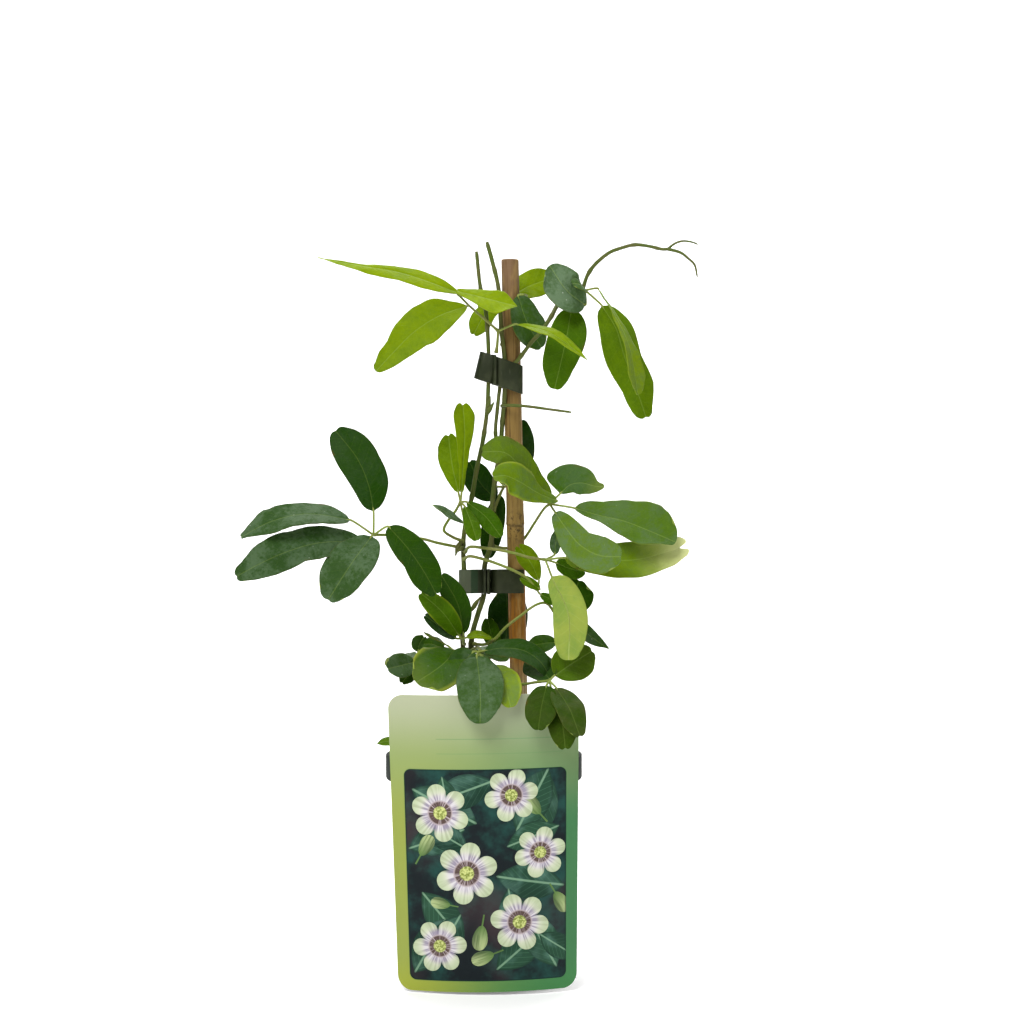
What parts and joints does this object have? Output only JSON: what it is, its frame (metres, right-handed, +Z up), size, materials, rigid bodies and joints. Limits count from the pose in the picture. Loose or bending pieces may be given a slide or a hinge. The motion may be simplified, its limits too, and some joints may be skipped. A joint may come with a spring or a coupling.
{
  "type": "potted climbing passion flower plant",
  "caption": "Young climbing passion flower in a round nursery pot, its stems clipped to a bamboo cane, with palmate leaves all round and a picture card on the rim",
  "frame": {"origin": "centre of the pot's flat base, on the surface that it stands on", "axes": "+Z up along the cane, -Y out of the card's face at the front, +X to the right as the card faces the viewer"},
  "size_m": [0.2169, 0.1226, 0.3543],
  "materials": {
    "pot_plastic": "satin",
    "peat": "matte",
    "bamboo": "satin",
    "clip_plastic": "gloss",
    "green_bark": "matte",
    "printed_card": "gloss",
    "leaf_young": "satin",
    "leaf_green": "satin",
    "leaf_dark": "satin",
    "leaf_blue_green": "satin"
  },
  "bodies": {
    "root": {"pot": "pot_plastic", "soil": "peat", "cane": "bamboo", "clip_upper": "clip_plastic", "clip_lower": "clip_plastic", "stem_left": "green_bark", "stem_middle": "green_bark", "label_card": "printed_card", "frond_top_left": "leaf_young", "frond_mid_left": "leaf_young", "frond_right_low": "leaf_young", "frond_clip_front": "leaf_young", "frond_top_back": "leaf_green", "frond_top_right": "leaf_green", "frond_right": "leaf_green", "frond_low_right": "leaf_green", "frond_low_left": "leaf_green", "frond_left_front": "leaf_green", "sprout_small": "leaf_green", "frond_left": "leaf_dark", "frond_mid_back": "leaf_dark", "frond_far_left": "leaf_dark", "frond_low_front": "leaf_dark", "frond_low_back": "leaf_dark", "frond_centre": "leaf_blue_green"}
  },
  "joints": []
}
